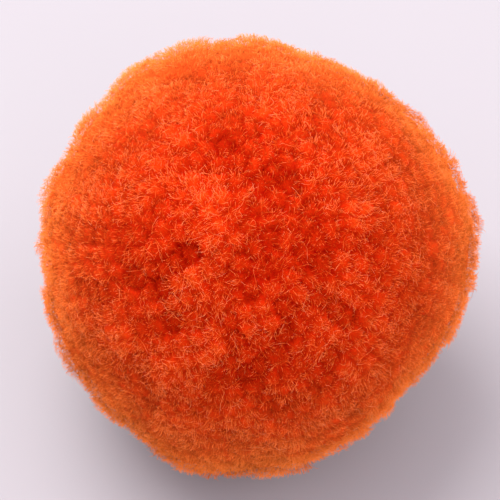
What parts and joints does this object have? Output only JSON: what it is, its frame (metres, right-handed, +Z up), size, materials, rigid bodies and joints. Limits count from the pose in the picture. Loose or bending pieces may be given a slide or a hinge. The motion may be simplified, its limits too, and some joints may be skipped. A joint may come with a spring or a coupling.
{
  "type": "yarn pom pom",
  "caption": "Round trimmed pom pom of cut yarn in dense locks bound at the middle, resting on a small level foot; a soft trimming for hats, garlands and crafts.",
  "frame": {"origin": "on the level yarn ends of the foot, under the ball's middle", "axes": "+Z up out of the foot through the ball's middle; the part is a near-round ball, with its longest-trimmed yarn on the +X side and its shortest low towards +X and -Y"},
  "size_m": [0.0454, 0.0454, 0.0439],
  "materials": {
    "orange_yarn": "matte fluffy cut acrylic yarn, bright orange with deeper red between the tufts"
  },
  "bodies": {
    "root": {"yarn_pile": "orange_yarn"}
  },
  "joints": []
}
